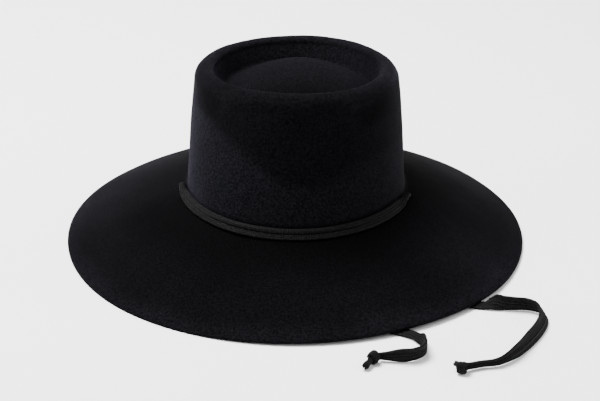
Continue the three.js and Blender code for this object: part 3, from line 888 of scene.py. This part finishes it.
def knot_core(heart, axis, across, radius):
    """The round middle that the turns lie on."""
    centre = heart + axis * np.linspace(-0.85, 0.9, KNOT_CORE_STEPS)[:, None] * radius
    bulge = np.sqrt(np.clip(1 - np.linspace(-0.95, 0.93, KNOT_CORE_STEPS) ** 2, 0.02, 1))
    girth = radius * KNOT_CORE_GIRTH * bulge
    side = np.broadcast_to(across, centre.shape)
    return Band(centre, np.gradient(centre, axis=0), side, girth, girth, np.zeros(KNOT_CORE_STEPS))


def frayed_tail(name, knot, material, seed):
    """Loose yarn ends that leave the knot together and spread at the tip."""
    chance = np.random.default_rng(seed)
    heart, tail = np.array(knot["heart"]), np.array(knot["tail"])
    way = unit(tail - heart)
    length = float(np.linalg.norm(tail - heart))
    across = unit(np.cross(way, (0, 0, 1)))
    up = np.cross(across, way)
    pieces = []
    for _ in range(TAIL_STRANDS):
        turn = chance.uniform(0, 2 * math.pi)
        reach = math.sqrt(chance.uniform(0, 1))
        spot = across * math.cos(turn) * reach + up * math.sin(turn) * reach
        end = length * chance.uniform(*TAIL_LENGTHS)
        t = np.linspace(TAIL_START, 1, TAIL_STEPS)[:, None]
        opening = lerp(TAIL_BUNCH, 1, smoothstep(t, 0.4, 1))
        flare = knot["flare"] * opening * lerp(1, chance.uniform(*TAIL_SPREADS), t)
        line = heart + way * end * t + spot * flare
        line[:, 2] = np.maximum(line[:, 2], TAIL_FLOOR)
        thick = TAIL_YARN * lerp(1, TAIL_YARN_TIP, smoothstep(t[:, 0], 0.85, 1))
        turns = np.arange(TAIL_YARN_SIDES) / TAIL_YARN_SIDES * 2 * math.pi
        ring = across * np.cos(turns)[:, None] + up * np.sin(turns)[:, None]
        pieces.append(line[:, None] + ring[None] * thick[:, None, None])
    return joined(name, [ring_mesh(name, rings, material) for rings in pieces])


def knot_piece(name, knot, strap_end, tree, base, yarn, seed):
    bands, core = knot_bands(knot, np.array(strap_end))
    parts = []
    for i, band in enumerate(bands):
        rings = band_rings(band.resampled(KNOT_RING_STEP), KNOT_RING_SIDES)
        parts.append(ring_mesh(f"{name}_turn_{i}", rings, base))
        cloud = stitch_points(f"{name}_turn_{i}_stitches", band, KNOT_SLANT)
        parts.append(stitches(cloud, tree, {**KNOT_GRAIN, "Seed": seed + i, "Yarn": yarn}))
    parts.append(ring_mesh(name + "_core", band_rings(core, KNOT_CORE_SIDES), base))
    parts.append(frayed_tail(name + "_tail", knot, yarn, seed))
    return joined(name, parts)


# Felt

def turn_between(angle, other):
    return (angle - other + 540) % 360 - 180


def edge_height(angle):
    height = np.full_like(angle, EDGE_LIFT)
    for wave in EDGE_WAVES:
        height += wave["lift"] * bell(turn_between(angle, wave["at"]), wave["spread"])
    return np.maximum(height, 0)


def brim_swell(angle):
    swells = [row["out"] * bell(turn_between(angle, row["at"]), row["spread"]) for row in BRIM_SWELLS]
    return sum(swells)


def ridge_wave(angle):
    slope = -RIDGE_TILT * np.sin(np.radians(angle))
    return slope + RIDGE_FRONT_RISE * bell(turn_between(angle, 270), RIDGE_FRONT_SPREAD)


def dome_oval(reach):
    drop = DOME_HEIGHT - GROOVE_HEIGHT
    height = GROOVE_HEIGHT + drop * (1 - reach ** 2) ** DOME_FULLNESS
    return np.array([GROOVE_HALF_WIDTH * reach, GROOVE_HALF_LENGTH * reach, height, 0])


def ridge_oval(radius, turn):
    out, down = radius * math.sin(turn), abs(radius) * (1 - math.cos(turn))
    return np.array([RIDGE_HALF_WIDTH + out, RIDGE_HALF_LENGTH + out, RIDGE_HEIGHT - down, 1])


def crown_sections():
    """Half width, half length, height and share of the ridge's wave, from the dome's middle to the root."""
    rows = [dome_oval(reach) for reach in np.linspace(0.03, 0.9, DOME_ROWS)]
    start = dome_oval(0.92)
    corner = np.array([GROOVE_HALF_WIDTH, GROOVE_HALF_LENGTH, GROOVE_HEIGHT, GROOVE_WAVE])
    foot = np.array([
        GROOVE_HALF_WIDTH + INNER_WALL_SPREAD, GROOVE_HALF_LENGTH + INNER_WALL_SPREAD,
        GROOVE_HEIGHT + GROOVE_BLEND, INNER_FOOT_WAVE,
    ])
    for t in np.linspace(0, 1, FOOT_ROWS):
        rows.append(lerp(lerp(start, corner, t), lerp(corner, foot, t), t))
    top = ridge_oval(-RIDGE_INNER_RADIUS, math.pi / 2)
    rows += [lerp(foot, top, t) for t in np.linspace(0, 1, INNER_WALL_ROWS)[1:-1]]
    inner_turns = np.radians(np.linspace(90, 0, RIDGE_INNER_ROWS))
    outer_turns = np.radians(np.linspace(8, 90, RIDGE_OUTER_ROWS))
    rows += [ridge_oval(-RIDGE_INNER_RADIUS, turn) for turn in inner_turns]
    rows += [ridge_oval(RIDGE_OUTER_RADIUS, turn) for turn in outer_turns]
    shoulder = rows[-1]
    root = np.array([ROOT_HALF_WIDTH, ROOT_HALF_LENGTH, ROOT_HEIGHT, 0])
    foot = lerp(root, shoulder, ROOT_FILLET / (shoulder[2] - ROOT_HEIGHT))
    for t in np.linspace(0, 1, OUTER_WALL_ROWS)[1:]:
        bow = WALL_BOW * math.sin(math.pi * t)
        rows.append(lerp(shoulder, foot, t) + (bow, bow, 0, 0))
    return rows


def felt_rows(angle):
    """The upper face from the dome out to the brim's edge: a ring of points for each row."""
    turn = np.radians(angle)
    rows = []
    for half_width, half_length, height, wave in crown_sections():
        lean = CROWN_LEAN_X * np.clip((height - ROOT_HEIGHT) / (RIDGE_HEIGHT - ROOT_HEIGHT), 0, 1)
        rows.append(np.stack([
            CROWN_X + lean + half_width * np.cos(turn), CROWN_Y + half_length * np.sin(turn),
            height + wave * ridge_wave(angle),
        ], 1))
    run = BRIM_HALF_WIDTH - ROOT_HALF_WIDTH
    swell = brim_swell(angle)
    cos, sin = np.cos(turn), np.sin(turn)

    def brim(reach):
        fall = (1 - BRIM_BOW) * reach + BRIM_BOW * reach ** 2
        return np.stack([
            lerp(CROWN_X + ROOT_HALF_WIDTH * cos, (BRIM_HALF_WIDTH + swell) * cos, reach),
            lerp(CROWN_Y + ROOT_HALF_LENGTH * sin, (BRIM_HALF_LENGTH + swell) * sin, reach),
            lerp(ROOT_HEIGHT, edge_height(angle) + FELT, fall),
        ], 1)

    foot, root, start = rows.pop(), brim(0), brim(ROOT_FILLET / run)
    rows += [lerp(lerp(foot, root, t), lerp(root, start, t), t) for t in np.linspace(0, 1, ROOT_ROWS)]
    rows += [brim(reach) for reach in np.linspace(BRIM_START, 1 - EDGE_CORNER / run, BRIM_ROWS)]
    return np.array(rows)


def row_normals(rows):
    """Outward directions of the upper face."""
    down = np.gradient(rows, axis=0)
    round_way = np.roll(rows, -1, 1) - np.roll(rows, 1, 1)
    return unit(np.cross(down, round_way))


def hand_shaping(rows):
    """The height of the slow swells, fading out at the brim's edge."""
    place = np.concatenate([rows, np.ones((*rows.shape[:2], 1))], -1)
    swell = np.zeros(rows.shape[:2])
    for row in HAND_SWELLS:
        swell += row["high"] * np.sin(place @ row["wave"]) * np.sin(place @ row["crossing"])
    fade = np.ones(len(rows))
    fade[-SWELL_FADE_ROWS:] = np.linspace(1, 0, SWELL_FADE_ROWS)
    return swell * fade[:, None]


def felt_piece(material):
    angle = np.arange(AROUND) * 360 / AROUND
    rows = felt_rows(angle)
    rows = rows + row_normals(rows) * hand_shaping(rows)[..., None]
    normals = row_normals(rows)
    under = (rows - normals * FELT)[:-1][::-1][::2]
    turn = np.radians(angle)
    rim = []
    for inset, rise in felt_edge():
        out = brim_swell(angle) - inset
        rim.append(np.stack([
            (BRIM_HALF_WIDTH + out) * np.cos(turn), (BRIM_HALF_LENGTH + out) * np.sin(turn),
            edge_height(angle) + rise,
        ], 1))
    felt = ring_mesh("felt", np.concatenate([rows, rim, under]), material, creases=50)
    for side in (180 + HOLE_ANGLE, 360 - HOLE_ANGLE):
        cut_hole(felt, side, material)
    return felt


def felt_edge():
    """Inset and rise of the cut edge: a small round corner, the edge, another corner, a narrow flat."""
    def corner(turn):
        radians = math.radians(turn)
        return EDGE_CORNER * (1 - math.sin(radians)), EDGE_CORNER * (1 - math.cos(radians))

    upper = [corner(turn) for turn in (30, 60, 90)]
    lower = [corner(turn) for turn in (0, 30, 60, 90)]
    rows = [(inset, FELT - drop) for inset, drop in upper]
    rows.append((0, FELT / 2))
    rows += [(inset, rise) for rise, inset in lower]
    rows.append((EDGE_CORNER + EDGE_BAND, 0))
    return rows


def cut_hole(felt, angle, material):
    """Punches one oval hole through the brim."""
    point, out, along = beside_crown(np.array([float(angle)]), HOLE_OFFSET, 0)
    turn = (np.arange(HOLE_SIDES) / HOLE_SIDES * 2 * math.pi)[:, None]
    oval = point + out * HOLE_HALF_ACROSS * np.cos(turn) + along * HOLE_HALF_ALONG * np.sin(turn)
    rings = np.stack([oval + (0, 0, height) for height in HOLE_CUTTER])
    cutter = ring_mesh("hole_cutter", rings, material)
    cut = felt.modifiers.new("hole", "BOOLEAN")
    cut.operation = "DIFFERENCE"
    cut.solver = "MANIFOLD"
    cut.object = cutter
    baked(felt)
    bpy.data.objects.remove(cutter)


# Floor and light

FLOOR_HALF = 8

# Soft studio lights: place, aim, size across and power
LIGHTS = [
    {"name": "overhead", "place": (-0.7, 0.2, 2.1), "aim": (0, 0, 0), "size": 1.3, "power": 190},
    {"name": "left", "place": (-2.0, -0.9, 1.1), "aim": (0, 0, 0.06), "size": 1.0, "power": 13},
    {"name": "right", "place": (2.0, 0.4, 1.0), "aim": (0, 0, 0.06), "size": 1.0, "power": 15},
]
ROOM_WHITE = (1, 1, 1, 1)
ROOM_BRIGHTNESS = 0.95


def add_floor():
    size = FLOOR_HALF
    mesh = bpy.data.meshes.new("floor")
    corners = [(-size, -size, 0), (size, -size, 0), (size, size, 0), (-size, size, 0)]
    mesh.from_pydata(corners, [], [(0, 1, 2, 3)])
    mesh.materials.append(floor_material())
    floor = plain_object("floor", mesh)


def add_light(name, place, aim, size, power):
    data = bpy.data.lights.new(name, "AREA")
    data.shape = "DISK"
    data.size = size
    data.energy = power
    light = plain_object(name, data)
    light.location = place
    light.rotation_euler = (Vector(aim) - Vector(place)).to_track_quat("-Z", "Y").to_euler()


def add_studio():
    for light in LIGHTS:
        add_light(**light)
    world = bpy.data.worlds.new("studio")
    world.use_nodes = True
    background = world.node_tree.nodes["Background"]
    background.inputs["Color"].default_value = ROOM_WHITE
    background.inputs["Strength"].default_value = ROOM_BRIGHTNESS
    bpy.context.scene.world = world


def build():
    add_camera()
    felt = felt_material()
    # The core's darker tones are painted shade between the stitches and inside the knots
    base = braid_material("braid_core_painted_shade", *PAINTED_SHADE_CORE_TONES)
    yarn = braid_material("braid_yarn", *YARN_TONES)
    tree = stitch_tree()
    ends = [
        ("left", LEFT_ROUTE, LEFT_GATHER, LEFT_CURL, LEFT_KNOT, 11),
        ("right", RIGHT_ROUTE, RIGHT_GATHER, RIGHT_CURL, RIGHT_KNOT, 23),
    ]
    for side, route, gather, curl, knot, seed in ends:
        band = loose_band(route, gather, curl)
        strap = braided(f"loose_strap_{side}", band, tree, base, yarn, seed)
        tied = knot_piece(f"tied_knot_{side}", knot, route[-1][:3], tree, base, yarn, seed)
        for piece, node in ((strap, f"chin_strap_{side}"), (tied, f"knot_{side}")):
            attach(piece, "root")
            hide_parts(node)
        path = band.resampled(PATH_STEP)
        round(path.length(), 3)
    front = braided("front_strap_braid", front_band(), tree, base, yarn, FRONT_SEED, rope_from=ROPE_FROM)
    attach(front, "root")
    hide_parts("front_strap")
    body = felt_piece(felt)
    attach(body, "root")
    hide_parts("felt_body")
    add_floor()
    add_studio()


build()
